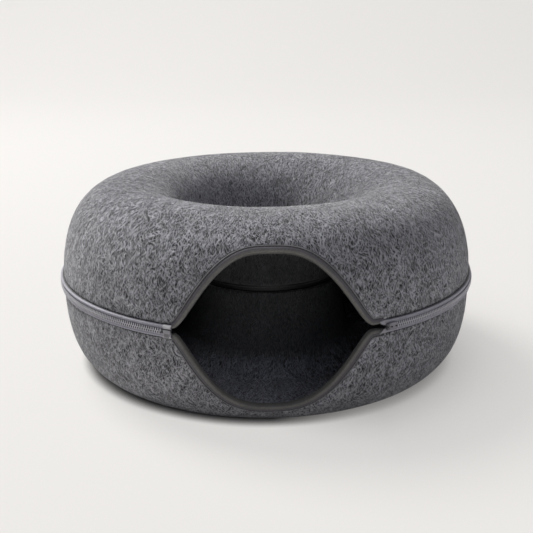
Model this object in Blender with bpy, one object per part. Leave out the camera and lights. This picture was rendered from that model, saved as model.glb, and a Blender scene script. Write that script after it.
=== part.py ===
# A round felt cave for a cat or small dog: a hollow doughnut of moulded felt that the pet walks round in.
# Two felt half shells meet at one level plane. A separating zip joins them round the outside and a second
# one joins them round the middle hole. A lens-shaped doorway is cut half from each shell and bound with tape.
#
# Units are metres, +Z is up and the doorway faces -Y. The floor is z = 0, and the origin is the middle of
# the footprint. Heights inside a section are measured from the zip plane, and "out" is measured from the
# felt's face towards the side that the zip is seen from: outwards on the outer zip, to the hole on the inner.

import math

import bmesh
import bpy
from mathutils import Vector

# Moulded felt
ZIP_HEIGHT = 0.1075
TUBE_CENTRE_RADIUS = 0.170
TUBE_HALF_WIDTH = 0.080
CROWN_RISE = 0.1137
BELLY_DROP = 0.1150
CROWN_FULLNESS = 2.3
BELLY_FULLNESS = 2.78
FELT_THICKNESS = 0.005

# Doorway
DOOR_HALF_ANGLE = math.radians(24.5)
DOOR_TAIL_ANGLE = math.radians(2.9)
DOOR_UPPER_REACH = 0.0850
DOOR_UPPER_LEAN = math.radians(0.4)
DOOR_UPPER_FLANK = 3.0
DOOR_UPPER_SHOULDER = 1.58
DOOR_LOWER_REACH = 0.0845
DOOR_LOWER_LEAN = math.radians(1.1)
DOOR_LOWER_FLANK = 2.8
DOOR_LOWER_SHOULDER = 1.51
BINDING_WIDTH = 0.0070
BINDING_THICKNESS = 0.0010

# Zip tape and teeth
FIT = 0.0003
TAPE_THICKNESS = 0.0008
TAPE_LIFT = 0.0017
HEM_WIDTH = 0.0026
HEM_RISE = 0.0038
HEM_CROWN_SHARES = ((0.10, 0.92), (0.50, 1.00), (0.90, 0.70))
CHAIN_HALF_WIDTH = 0.0029
TOOTH_PITCH = 0.0028
TEETH_PER_BLOCK = 4
TOOTH_REACH = 0.00075
TOOTH_THICKNESS = 0.0018

# Slider
SLIDER_LENGTH = 0.0105
SLIDER_PLATE = 0.0012
SLIDER_FLANGE = 0.0008
SLIDER_NOSE = 0.0012
SLIDER_NOSE_DROP = 0.0005
SLIDER_BEVEL = 0.0006
BRIDGE_LENGTH = 0.0056
BRIDGE_RISE = 0.0018
BRIDGE_BAR = 0.0009
BRIDGE_HALF_WIDTH = 0.0011
BRIDGE_SHOULDER = 0.0007

# Ends of the zips
END_TAIL = 0.0010
STOP_LENGTH = 0.0030
STOP_RISE = 0.0016
PIN_LENGTH = 0.0090
PIN_WIDTH = 0.0017
PIN_THICKNESS = 0.0014
BOX_LENGTH = 0.0090
BOX_COVER = 0.0008
BOX_END_WALL = 0.0012
BOX_LIP = 0.0005
FILM_LENGTH = 0.0090
FILM_THICKNESS = 0.0004
INNER_JOIN_ANGLE = math.radians(180)
INNER_JOIN_GAP = 0.0010

# How finely the rings are faceted
RING_STEP = math.radians(7.5)
DOOR_STEPS = 20
DOOR_ROWS = 3
OUTER_ROWS = 11
INNER_ROWS = 5
SHARED_ROW_REACH = 0.0130
PROFILE_SAMPLES = 240
PROFILE_STEP = 0.0010
STATION_STEP = 0.0030
BOX_STEPS = 3
CREASE_ANGLE = math.radians(35)

# Heights and depths that follow from the sizes above
TAPE_FRONT = TAPE_LIFT + TAPE_THICKNESS
TOOTH_BACK = TAPE_FRONT + FIT
TOOTH_FRONT = TOOTH_BACK + TOOTH_THICKNESS
FLANGE_INNER = CHAIN_HALF_WIDTH + FIT
FLANGE_OUTER = FLANGE_INNER + SLIDER_FLANGE
HEM_INNER = FLANGE_OUTER + FIT
HEM_OUTER = HEM_INNER + HEM_WIDTH
FELT_EDGE = HEM_INNER + FIT
PLATE_BACK = TOOTH_FRONT + FIT
PLATE_FRONT = PLATE_BACK + SLIDER_PLATE
OUTER_FACE_RADIUS = TUBE_CENTRE_RADIUS + TUBE_HALF_WIDTH
INNER_FACE_RADIUS = TUBE_CENTRE_RADIUS - TUBE_HALF_WIDTH

FELT_COLOUR = (0.115, 0.115, 0.122)
BINDING_COLOUR = (0.130, 0.122, 0.113)
TAPE_COLOUR = (0.190, 0.182, 0.200)
TEETH_COLOUR = (0.210, 0.202, 0.215)
SLIDER_COLOUR = (0.200, 0.195, 0.220)
FILM_COLOUR = (0.560, 0.540, 0.570)


class Half:
    """One felt shell: which way it goes from the zip plane, how far, how full its curve is, and its doorway."""

    def __init__(self, name, sign, rise, fullness, level, door):
        self.name = name
        self.sign = sign
        self.rise = rise
        self.fullness = fullness
        self.level = level
        self.door = door


class DoorEdge:
    """Half of the doorway's outline: its reach, how far its peak leans to the left, and its curve's two powers."""

    def __init__(self, reach, lean, flank, shoulder):
        self.reach = reach
        self.lean = lean
        self.flank = flank
        self.shoulder = shoulder

    def height(self, angle):
        """How far from the zip plane the felt is cut, at an angle from the middle of the doorway."""
        from_peak = angle + self.lean
        span = DOOR_HALF_ANGLE + math.copysign(self.lean, from_peak)
        share = min(abs(from_peak) / span, 1)
        return FELT_EDGE + (self.reach - FELT_EDGE) * (1 - share**self.flank) ** self.shoulder


class Ring:
    """One zip: the felt radius it lies on, the side it is seen from, and the angles of its two ends."""

    def __init__(self, name, radius, side, start, end):
        self.name = name
        self.radius = radius
        self.side = side
        self.start = start
        self.end = end
        self.chain_radius = radius + side * TOOTH_BACK

    def turn(self, length):
        return length / self.chain_radius

    def point(self, angle, height, out):
        reach = self.radius + self.side * out
        return Vector((reach * math.sin(angle), -reach * math.cos(angle), ZIP_HEIGHT + height))


UPPER_EDGE = DoorEdge(DOOR_UPPER_REACH, DOOR_UPPER_LEAN, DOOR_UPPER_FLANK, DOOR_UPPER_SHOULDER)
LOWER_EDGE = DoorEdge(DOOR_LOWER_REACH, DOOR_LOWER_LEAN, DOOR_LOWER_FLANK, DOOR_LOWER_SHOULDER)
UPPER = Half("upper", 1, CROWN_RISE, CROWN_FULLNESS, CROWN_RISE, UPPER_EDGE)
LOWER = Half("lower", -1, BELLY_DROP, BELLY_FULLNESS, ZIP_HEIGHT, LOWER_EDGE)
SEAM_GAP_ANGLE = FIT / OUTER_FACE_RADIUS
OUTER_RING = Ring(
    "outer_zip",
    OUTER_FACE_RADIUS,
    1,
    DOOR_HALF_ANGLE + DOOR_TAIL_ANGLE + SEAM_GAP_ANGLE,
    2 * math.pi - DOOR_HALF_ANGLE - SEAM_GAP_ANGLE,
)
INNER_RING = Ring(
    "inner_zip",
    INNER_FACE_RADIUS,
    -1,
    INNER_JOIN_ANGLE + INNER_JOIN_GAP / INNER_FACE_RADIUS,
    INNER_JOIN_ANGLE + 2 * math.pi - INNER_JOIN_GAP / INNER_FACE_RADIUS,
)


def clear_scene():
    for obj in list(bpy.data.objects):
        bpy.data.objects.remove(obj, do_unlink=True)


def finish(name, colour, roughness, metallic=0.0):
    material = bpy.data.materials.get(name) or bpy.data.materials.new(name)
    material.use_nodes = True
    shader = material.node_tree.nodes["Principled BSDF"]
    shader.inputs["Base Color"].default_value = (*colour, 1.0)
    shader.inputs["Roughness"].default_value = roughness
    shader.inputs["Metallic"].default_value = metallic
    return material


def felt():
    return finish("charcoal_felt", FELT_COLOUR, 0.95)


def binding_tape():
    return finish("binding_tape", BINDING_COLOUR, 0.8)


def zip_tape():
    return finish("zip_tape", TAPE_COLOUR, 0.6)


def moulded_teeth():
    return finish("moulded_teeth", TEETH_COLOUR, 0.45)


def painted_metal():
    return finish("painted_metal", SLIDER_COLOUR, 0.4, 0.3)


def end_film():
    return finish("end_film", FILM_COLOUR, 0.25)


def axis_empty(name, parent=None):
    """An empty on the cave's upright axis, which carries everything that lifts or slides with it."""
    empty = bpy.data.objects.new(name, None)
    empty.parent = parent
    bpy.context.scene.collection.objects.link(empty)
    return empty


def loft(name, sections, material, parent, closed=False):
    """A solid through a row of sections with equal point counts, closed into a ring or capped at both ends."""
    mesh = bpy.data.meshes.new(name)
    shape = bmesh.new()
    rows = [[shape.verts.new(point) for point in section] for section in sections]
    pairs = list(zip(rows, rows[1:]))
    if closed:
        pairs.append((rows[-1], rows[0]))
    for near, far in pairs:
        for i in range(len(near)):
            j = (i + 1) % len(near)
            shape.faces.new((near[i], near[j], far[j], far[i]))
    if not closed:
        shape.faces.new(rows[0])
        shape.faces.new(rows[-1])
    bmesh.ops.recalc_face_normals(shape, faces=shape.faces)
    shape.to_mesh(mesh)
    shape.free()
    return place(name, mesh, material, parent)


def place(name, mesh, material, parent):
    mesh.materials.append(material)
    mesh.shade_smooth()
    mesh.set_sharp_from_angle(angle=CREASE_ANGLE)
    obj = bpy.data.objects.new(name, mesh)
    obj.parent = parent
    bpy.context.scene.collection.objects.link(obj)
    return obj


def evenly(start, end, count):
    """The ends of a stretch and the points that part it in equal steps."""
    return [start + (end - start) * i / count for i in range(count + 1)]


def ring_columns():
    """The angles of the shells' facets: fine across the doorway, a column at the zip's start, then even steps."""
    across_door = evenly(-DOOR_HALF_ANGLE, DOOR_HALF_ANGLE, DOOR_STEPS)
    start = DOOR_HALF_ANGLE + DOOR_TAIL_ANGLE
    end = 2 * math.pi - DOOR_HALF_ANGLE
    round_back = evenly(start, end, round((end - start) / RING_STEP))
    return across_door + round_back[:-1]


def tube_angle(height, half):
    """Where the felt's curve reaches a height, as an angle from its outermost point."""
    return math.asin((height / half.rise) ** (half.fullness / 2))


def tube_point(turn, half):
    """Radius and height of the felt's outer face, on a rounded square cut flat where it meets the floor."""
    across = math.cos(turn)
    power = 2 / half.fullness
    radius = TUBE_CENTRE_RADIUS + TUBE_HALF_WIDTH * math.copysign(abs(across) ** power, across)
    height = half.rise * abs(math.sin(turn)) ** power
    return Vector((radius, half.sign * min(height, half.level)))


class Profile:
    """The felt's outer face in section, from beside the zip over to the middle hole, read by distance."""

    def __init__(self, half):
        first = tube_angle(FELT_EDGE, half)
        self.points = [tube_point(turn, half) for turn in evenly(first, math.pi - first, PROFILE_SAMPLES)]
        self.sign = half.sign
        self.travel = [0]
        for a, b in zip(self.points, self.points[1:]):
            self.travel.append(self.travel[-1] + (b - a).length)
        self.length = self.travel[-1]

    def reach(self, height):
        """How far along the curve a height above or below the zip plane is first met."""
        i = 1
        while abs(self.points[i].y) < height:
            i += 1
        a = self.points[i - 1]
        b = self.points[i]
        share = (height - abs(a.y)) / (abs(b.y) - abs(a.y))
        return self.travel[i - 1] + share * (b - a).length

    def at(self, distance):
        """The point at a distance along the curve, the way out of the felt there and the way along it."""
        i = 0
        while i < len(self.points) - 2 and self.travel[i + 1] < distance:
            i += 1
        a = self.points[i]
        b = self.points[i + 1]
        along = (b - a).normalized()
        point = a + along * (distance - self.travel[i])
        return point, Vector((along.y, -along.x)) * self.sign, along


PROFILES = {half.name: Profile(half) for half in (UPPER, LOWER)}


def cut_distance(angle, half):
    return PROFILES[half.name].reach(half.door.height(angle))


def in_space(angle, point):
    """A section's radius and height, turned to an angle round the cave's axis."""
    return Vector((point.x * math.sin(angle), -point.x * math.cos(angle), ZIP_HEIGHT + point.y))


def edge_stretch(angle, half):
    """How much longer a step across the felt's edge gets when it is taken in the plane of the section."""
    step = DOOR_HALF_ANGLE / DOOR_STEPS
    profile = PROFILES[half.name]
    edge = [in_space(turn, profile.at(cut_distance(turn, half))[0]) for turn in (angle - step, angle, angle + step)]
    along = in_space(angle, profile.at(cut_distance(angle, half) + PROFILE_STEP)[0]) - edge[1]
    return 1 / (edge[2] - edge[0]).normalized().cross(along.normalized()).length


def wall_rows(angle, half, door_rows, body_rows):
    """Distances of the felt's rows: the cut edge, a row under the binding, then rows that all columns share."""
    profile = PROFILES[half.name]
    cut = cut_distance(angle, half)
    shared = profile.reach(half.door.reach) + SHARED_ROW_REACH
    bound = cut + BINDING_WIDTH * edge_stretch(angle, half)
    return [cut] + evenly(bound, shared, door_rows)[:-1] + evenly(shared, profile.length, body_rows)


def shell_section(angle, half):
    """The felt wall at one angle: its outer face from the cut edge to the hole, and its inner face back."""
    profile = PROFILES[half.name]
    section = [profile.at(distance)[0] for distance in wall_rows(angle, half, DOOR_ROWS, OUTER_ROWS)]
    for distance in reversed(wall_rows(angle, half, DOOR_ROWS, INNER_ROWS)):
        point, out, _ = profile.at(distance)
        section.append(point - out * FELT_THICKNESS)
    return [in_space(angle, point) for point in section]


def binding_section(angle, half):
    """The tape folded round the doorway's edge: two legs flat on the felt and a round nose between them."""
    profile = PROFILES[half.name]
    stretch = edge_stretch(angle, half)
    cut = cut_distance(angle, half)
    edge, edge_out, along = profile.at(cut)
    leg, leg_out, _ = profile.at(cut + (BINDING_WIDTH - BINDING_THICKNESS - FIT) * stretch)
    skin = FIT + BINDING_THICKNESS
    wall = FELT_THICKNESS
    nose = edge - along * skin * stretch
    lining = edge - along * FIT * stretch
    return [
        in_space(angle, point)
        for point in (
            leg + leg_out * FIT,
            leg + leg_out * skin,
            edge + edge_out * skin,
            nose - edge_out * BINDING_THICKNESS,
            nose - edge_out * (wall - BINDING_THICKNESS),
            edge - edge_out * (wall + skin),
            leg - leg_out * (wall + skin),
            leg - leg_out * (wall + FIT),
            edge - edge_out * (wall + FIT),
            lining - edge_out * wall,
            lining,
            edge + edge_out * FIT,
        )
    ]


def binding_columns():
    """The columns of the doorway and of the short tail past its right corner."""
    return ring_columns()[: DOOR_STEPS + 2]


def felt_shell(half, parent):
    sections = [shell_section(angle, half) for angle in ring_columns()]
    return loft(half.name + "_shell", sections, felt(), parent, closed=True)


def door_binding(half, parent):
    sections = [binding_section(angle, half) for angle in binding_columns()]
    return loft(half.name + "_door_binding", sections, binding_tape(), parent)


def tape_section(half, slack):
    """One zip tape: a thin web beside the teeth that runs into a folded hem sewn on the felt's edge."""
    crown = [(HEM_INNER + HEM_WIDTH * across, HEM_RISE * rise) for across, rise in HEM_CROWN_SHARES]
    outline = [
        (FIT, TAPE_LIFT),
        (FIT, TAPE_FRONT),
        (HEM_INNER, TAPE_FRONT),
        *crown,
        (HEM_OUTER, FIT + slack),
        (FELT_EDGE, FIT + slack),
        (HEM_INNER, TAPE_LIFT),
    ]
    return [(half.sign * height, out) for height, out in outline]


def tape_angles(ring):
    """The outer tape shares the felt's facets. The inner one has even facets of its own."""
    if ring.side > 0:
        columns = [angle for angle in ring_columns() if ring.start < angle < ring.end]
        return [ring.start] + columns + [ring.end]
    return evenly(ring.start, ring.end, round((ring.end - ring.start) / RING_STEP))


def facet_dip(ring):
    """How far the middle of a facet lies from the true circle."""
    return ring.radius * (1 - math.cos(RING_STEP / 2))


def zip_tape_piece(ring, half, parent):
    slack = 0 if ring.side > 0 else 2 * facet_dip(ring)
    outline = tape_section(half, slack)
    push = 0 if ring.side > 0 else -facet_dip(ring)
    sections = [[ring.point(angle, height, out + push) for height, out in outline] for angle in tape_angles(ring)]
    return loft(f"{ring.name}_{half.name}_tape", sections, zip_tape(), parent)


def pin_start(ring):
    """The angle where the insertion pin begins. Its far end stops short of the box's end wall."""
    return ring.end - ring.turn(PIN_LENGTH + BOX_END_WALL + BOX_LIP + FIT)


def teeth_ends(ring):
    """The angles between which the teeth run: from the end stops to the insertion pin."""
    start = ring.start + ring.turn(END_TAIL + STOP_LENGTH + FIT)
    return start, pin_start(ring) - ring.turn(FIT)


def blocks_per_facet(ring):
    """How many tooth blocks one facet of the rail's back may span before it strays from the circle."""
    most = 2 * math.acos(1 - FIT / 2 / ring.chain_radius)
    return max(1, int(most / ring.turn(TOOTH_PITCH * TEETH_PER_BLOCK)))


def toothed_rail(ring, half, parent):
    """A row of moulded teeth as one zigzag rail. Each block of it stands for a few teeth of the real row."""
    start, end = teeth_ends(ring)
    pitch = ring.turn(TOOTH_PITCH * TEETH_PER_BLOCK)
    per_facet = 2 * blocks_per_facet(ring)
    facets = int((end - start) / (per_facet * pitch / 2))
    root = TOOTH_REACH + FIT
    first_is_tip = half.sign < 0
    name = f"{ring.name}_{half.name}_teeth"
    mesh = bpy.data.meshes.new(name)
    shape = bmesh.new()

    def corner_pair(angle, height):
        heights = half.sign * height
        back = shape.verts.new(ring.point(angle, heights, TOOTH_BACK))
        return back, shape.verts.new(ring.point(angle, heights, TOOTH_FRONT))

    edge = []
    rail = []
    for i in range(facets * per_facet + 1):
        is_tip = (i % 2 == 0) == first_is_tip
        angle = start + i * pitch / 2
        edge.append(corner_pair(angle, -TOOTH_REACH if is_tip else root))
        if i % per_facet == 0:
            rail.append(corner_pair(angle, CHAIN_HALF_WIDTH))
    for k in range(facets):
        run = edge[per_facet * k : per_facet * (k + 1) + 1]
        ends = (rail[k + 1], rail[k])
        shape.faces.new([back for back, _ in run] + [back for back, _ in ends])
        shape.faces.new([front for _, front in run] + [front for _, front in ends])
        shape.faces.new((*rail[k], *reversed(rail[k + 1])))
    for near, far in zip(edge, edge[1:]):
        shape.faces.new((*near, *reversed(far)))
    shape.faces.new((*edge[0], *reversed(rail[0])))
    shape.faces.new((*edge[-1], *reversed(rail[-1])))
    bmesh.ops.recalc_face_normals(shape, faces=shape.faces)
    shape.to_mesh(mesh)
    shape.free()
    return place(name, mesh, moulded_teeth(), parent)


def stations(ring, start, length, section):
    """Sections along a short piece that is bent to the ring. section(distance) gives its outline there."""
    count = max(2, round(length / STATION_STEP))
    return [
        [ring.point(start + ring.turn(distance), height, out) for height, out in section(distance)]
        for distance in evenly(0, length, count)
    ]


def end_stop(ring, half, parent):
    """The block past the last tooth that the slider comes to rest against."""

    def section(_):
        top = TOOTH_FRONT + STOP_RISE
        outline = (
            (FIT, TOOTH_BACK),
            (FIT, top - SLIDER_BEVEL),
            (FIT + SLIDER_BEVEL, top),
            (FLANGE_INNER - SLIDER_BEVEL, top),
            (FLANGE_INNER, top - SLIDER_BEVEL),
            (FLANGE_INNER, TOOTH_BACK),
        )
        return [(half.sign * height, out) for height, out in outline]

    start = ring.start + ring.turn(END_TAIL)
    sections = stations(ring, start, STOP_LENGTH, section)
    return loft(f"{ring.name}_{half.name}_end_stop", sections, moulded_teeth(), parent)


def insertion_pin(ring, parent):
    """The pin on the upper tape's end, which sits in the retainer box while the zip is joined."""

    def section(distance):
        lead = SLIDER_BEVEL / 2 if distance >= PIN_LENGTH else 0
        return (
            (FIT + lead, TOOTH_BACK),
            (FIT + lead, TOOTH_BACK + PIN_THICKNESS - lead),
            (FIT + PIN_WIDTH - lead, TOOTH_BACK + PIN_THICKNESS - lead),
            (FIT + PIN_WIDTH - lead, TOOTH_BACK),
        )

    sections = stations(ring, pin_start(ring), PIN_LENGTH, section)
    return loft(ring.name + "_insertion_pin", sections, moulded_teeth(), parent)


def retainer_box(ring, parent):
    """The box on the lower tape's end: a channel for the pin under a cover, shut by a wall at its far end."""
    cover_back = TOOTH_BACK + PIN_THICKNESS + FIT
    cover_front = cover_back + BOX_COVER
    lip = PIN_WIDTH + 2 * FIT + BOX_LIP
    open_length = BOX_LENGTH - BOX_END_WALL

    def outline(channel_out, ease):
        return (
            (-FLANGE_OUTER, TOOTH_BACK),
            (-FLANGE_OUTER, cover_front - BOX_LIP - ease),
            (-FLANGE_OUTER + BOX_LIP, cover_front - ease),
            (lip - BOX_LIP, cover_front - ease),
            (lip, cover_front - BOX_LIP - ease),
            (lip, channel_out),
            (0, channel_out),
            (0, TOOTH_BACK),
        )

    def section(distance):
        if distance <= open_length:
            return outline(cover_back, 0)
        return outline(TOOTH_BACK + FIT, BOX_LIP / 2 if distance >= BOX_LENGTH else 0)

    sections = []
    start = ring.end - ring.turn(BOX_LENGTH)
    for distance in evenly(0, open_length, BOX_STEPS) + [open_length + BOX_LIP, BOX_LENGTH]:
        angle = start + ring.turn(distance)
        sections.append([ring.point(angle, height, out) for height, out in section(distance)])
    return loft(ring.name + "_retainer_box", sections, moulded_teeth(), parent)


def end_patch(ring, half, parent):
    """The glossy film bonded over the hem where the tape ends at the box."""
    crown = [(HEM_INNER + HEM_WIDTH * across, HEM_RISE * rise) for across, rise in HEM_CROWN_SHARES]

    def section(_):
        under = [(height, out + 2 * FIT) for height, out in crown]
        over = [(height, out + 2 * FIT + FILM_THICKNESS) for height, out in reversed(crown)]
        return [(half.sign * height, out) for height, out in under + over]

    start = ring.end - ring.turn(FILM_LENGTH)
    sections = stations(ring, start, FILM_LENGTH, section)
    return loft(f"{ring.name}_{half.name}_end_film", sections, end_film(), parent)


def slider_channel(ring):
    """The slider's front plate, lower at its two ends, with a flange below the teeth.

    Above the teeth it is open, so that the upper shell can be lifted off with its row of teeth.
    """

    def section(distance):
        from_end = min(distance, SLIDER_LENGTH - distance)
        top = PLATE_FRONT - SLIDER_NOSE_DROP * max(0, 1 - from_end / SLIDER_NOSE)
        return (
            (-FLANGE_OUTER, TOOTH_BACK),
            (-FLANGE_INNER, TOOTH_BACK),
            (-FLANGE_INNER, PLATE_BACK),
            (FLANGE_OUTER, PLATE_BACK),
            (FLANGE_OUTER, top - SLIDER_BEVEL),
            (FLANGE_OUTER - SLIDER_BEVEL, top),
            (SLIDER_BEVEL - FLANGE_OUTER, top),
            (-FLANGE_OUTER, top - SLIDER_BEVEL),
        )

    distances = [0, SLIDER_NOSE, SLIDER_LENGTH / 2, SLIDER_LENGTH - SLIDER_NOSE, SLIDER_LENGTH]
    return [
        [ring.point(teeth_ends(ring)[0] + ring.turn(distance), height, out) for height, out in section(distance)]
        for distance in distances
    ]


def slider_bridge(ring):
    """The low arch on the slider's face. Its feet are sunk in the plate."""
    middle = SLIDER_LENGTH / 2
    foot = PLATE_FRONT - SLIDER_PLATE / 2
    outer = BRIDGE_LENGTH / 2
    inner = outer - BRIDGE_BAR
    top = PLATE_FRONT + BRIDGE_RISE
    under = top - BRIDGE_BAR
    outline = (
        (middle - outer, foot),
        (middle - outer, top - BRIDGE_SHOULDER),
        (middle - outer + BRIDGE_SHOULDER, top),
        (middle + outer - BRIDGE_SHOULDER, top),
        (middle + outer, top - BRIDGE_SHOULDER),
        (middle + outer, foot),
        (middle + inner, foot),
        (middle + inner, under),
        (middle - inner, under),
        (middle - inner, foot),
    )
    return [
        [ring.point(teeth_ends(ring)[0] + ring.turn(distance), height, out) for distance, out in outline]
        for height in (-BRIDGE_HALF_WIDTH, BRIDGE_HALF_WIDTH)
    ]


def slider_face(ring, parent):
    """The slider's visible part: the channel plate with its bridge joined on."""
    name = ring.name + "_slider"
    face = loft(name, slider_channel(ring), painted_metal(), parent)
    bridge = loft(name + "_bridge", slider_bridge(ring), painted_metal(), parent)
    bridge.hide_render = True
    bridge.display_type = "WIRE"
    join = face.modifiers.new("Bridge", "BOOLEAN")
    join.operation = "UNION"
    join.object = bridge
    return face


def slider_back(ring, parent):
    """The slider's back plate, behind the two tapes and between the felt's edges."""
    front = TAPE_LIFT - FIT - facet_dip(ring)

    def section(distance):
        from_end = min(distance, SLIDER_LENGTH - distance)
        half_width = FLANGE_OUTER - SLIDER_BEVEL * max(0, 1 - from_end / SLIDER_NOSE)
        return (
            (-half_width, front - SLIDER_PLATE),
            (-half_width, front),
            (half_width, front),
            (half_width, front - SLIDER_PLATE),
        )

    distances = [0, SLIDER_NOSE, SLIDER_LENGTH / 2, SLIDER_LENGTH - SLIDER_NOSE, SLIDER_LENGTH]
    sections = [
        [ring.point(teeth_ends(ring)[0] + ring.turn(distance), height, out) for height, out in section(distance)]
        for distance in distances
    ]
    return loft(ring.name + "_slider_back_plate", sections, painted_metal(), parent)


def separating_zip(ring, axes, slider_axis):
    for half in (UPPER, LOWER):
        parent = axes[half.name]
        zip_tape_piece(ring, half, parent)
        toothed_rail(ring, half, parent)
        end_stop(ring, half, parent)
        end_patch(ring, half, parent)
    insertion_pin(ring, axes["upper"])
    retainer_box(ring, axes["lower"])
    slider_face(ring, slider_axis)
    slider_back(ring, slider_axis)


def front_reach():
    """How far the doorway's bound edges stand in front of the cave's axis."""
    sections = [binding_section(angle, half) for half in (UPPER, LOWER) for angle in binding_columns()]
    return max(-point.y for section in sections for point in section)


def build():
    clear_scene()
    back_reach = OUTER_FACE_RADIUS + TOOTH_FRONT
    lower_axis = axis_empty("lower_half_axis")
    lower_axis.location = (0, (front_reach() - back_reach) / 2, 0)
    upper_axis = axis_empty("upper_half_axis", lower_axis)
    axes = {"lower": lower_axis, "upper": upper_axis}
    for half in (UPPER, LOWER):
        felt_shell(half, axes[half.name])
        door_binding(half, axes[half.name])
    for ring in (OUTER_RING, INNER_RING):
        slider_axis = axis_empty(ring.name + "_slider_axis", lower_axis)
        separating_zip(ring, axes, slider_axis)
    bpy.context.view_layer.update()


build()
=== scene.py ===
# Felt tunnel cave for a cat: detailed pieces, finishes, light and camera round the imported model
import math

import bpy
import numpy as np
from mathutils import Matrix, Vector, noise


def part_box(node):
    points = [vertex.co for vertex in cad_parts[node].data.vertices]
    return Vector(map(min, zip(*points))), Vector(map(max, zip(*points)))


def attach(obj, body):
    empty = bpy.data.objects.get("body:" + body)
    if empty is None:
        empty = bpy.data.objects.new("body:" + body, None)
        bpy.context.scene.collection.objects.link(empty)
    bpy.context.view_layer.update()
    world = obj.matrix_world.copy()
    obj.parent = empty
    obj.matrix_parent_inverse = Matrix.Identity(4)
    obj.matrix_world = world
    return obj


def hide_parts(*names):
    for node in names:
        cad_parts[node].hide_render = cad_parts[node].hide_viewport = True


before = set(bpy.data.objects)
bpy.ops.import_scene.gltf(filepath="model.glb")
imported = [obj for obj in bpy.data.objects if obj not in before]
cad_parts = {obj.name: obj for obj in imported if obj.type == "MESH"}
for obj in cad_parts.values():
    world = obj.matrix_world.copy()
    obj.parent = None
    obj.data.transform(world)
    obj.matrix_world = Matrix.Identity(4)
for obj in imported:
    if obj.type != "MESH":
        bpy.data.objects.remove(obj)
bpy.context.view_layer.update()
print("frame loaded:", len(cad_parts), "nodes")


# the view of the photograph
photoView = dict(
    place=(-0.0338, -1.1478, 0.4547),
    turn=(73.025, 0.355, -1.832),  # degrees
    lens=63.68, sensor=36, nearest=0.01,
)

mm = 0.001  # outlines and tones are laid out in millimetres

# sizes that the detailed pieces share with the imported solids, in metres and degrees
cave = dict(
    axisY=-0.00769,  # the ring's upright axis stands a little behind the footprint's middle
    zipHeight=0.1075, tubeMiddle=0.170, tubeHalf=0.080, wall=0.005, bindingWidth=0.007,
    feltEdge=0.0046,  # the felt stops this far above and below the zip's middle line
)
upper = dict(
    name="upper", body="upper_half", side=1,
    reach=0.1137, fullness=2.3, flat=0.1137,
    door=dict(reach=0.0850, lean=0.4, flank=3.0, shoulder=1.58),
)
lower = dict(
    name="lower", body="lower_half", side=-1,
    reach=0.1150, fullness=2.78,
    flat=0.1075,  # the belly is pressed flat where it lies on the floor
    door=dict(reach=0.0845, lean=1.1, flank=2.8, shoulder=1.51),
)
doorway = dict(half=24.5, tail=2.9)  # to each side of the middle, and the slit past the right corner
outerZip = dict(
    name="outer_zip", body="outer_slider", radius=0.250, side=1,
    start=27.469, end=335.431, firstTooth=28.52, lastTooth=332.75,
)
innerZip = dict(
    name="inner_zip", body="inner_slider", radius=0.090, side=-1,
    start=180.637, end=539.363, firstTooth=183.7, lastTooth=531.6,
)


def addCamera():
    turn = [math.radians(part) for part in photoView["turn"]]
    bpy.ops.object.camera_add(location=photoView["place"], rotation=turn)
    camera = bpy.context.object
    camera.name = "photoCamera"
    camera.data.lens = photoView["lens"]
    camera.data.sensor_width = photoView["sensor"]
    camera.data.clip_start = photoView["nearest"]
    bpy.context.scene.camera = camera


addCamera()
print("camera placed")


# small helpers

def clamped(value, low=0.0):
    return max(low, min(1.0, value))


def evenSteps(start, end, step, closed=True):
    # evenly spaced values from start to end; one that isn't closed leaves the end out
    count = round((end - start) / step)
    return np.linspace(start, end, count + closed, endpoint=closed)


def distances(points):
    # how far each point of a line lies along it
    return np.append(0, np.cumsum(np.linalg.norm(np.diff(points, axis=0), axis=1)))


def pick(*pieces):
    bpy.ops.object.select_all(action="DESELECT")
    for piece in pieces:
        piece.select_set(True)
    bpy.context.view_layer.objects.active = pieces[0]


def newPiece(name, scale=(1, 1, 1)):
    # names the primitive just added and puts its place, turn and scale into its mesh
    piece = bpy.context.object
    piece.name = piece.data.name = name
    piece.scale = scale
    bpy.ops.object.transform_apply()
    return piece


def smooth(piece, degrees):
    pick(piece)
    bpy.ops.object.shade_smooth_by_angle(angle=math.radians(degrees))


def applyModifier(piece, modifier):
    pick(piece)
    bpy.ops.object.modifier_apply(modifier=modifier.name)


def bevelEdges(piece, width, segments):
    bevel = piece.modifiers.new("softEdges", "BEVEL")
    bevel.width = width
    bevel.segments = segments
    bevel.limit_method = "ANGLE"
    applyModifier(piece, bevel)


def setMode(mode):
    bpy.ops.object.mode_set(mode=mode)


def sliceAcross(levels, axis):
    # cuts the piece just added across at each level along an axis, and keeps both sides
    setMode("EDIT")
    for level in levels:
        bpy.ops.mesh.select_all(action="SELECT")
        bpy.ops.mesh.bisect(plane_co=[level * part for part in axis], plane_no=axis)
    setMode("OBJECT")


def markPoints(piece, mark, values):
    piece.data.attributes.new(mark, "FLOAT", "POINT").data.foreach_set("value", values)


def dress(piece, material, body, slot, *nodes):
    piece.data.materials.clear()
    piece.data.materials.append(material)
    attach(piece, body)
    if nodes:
        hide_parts(*nodes)


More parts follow.
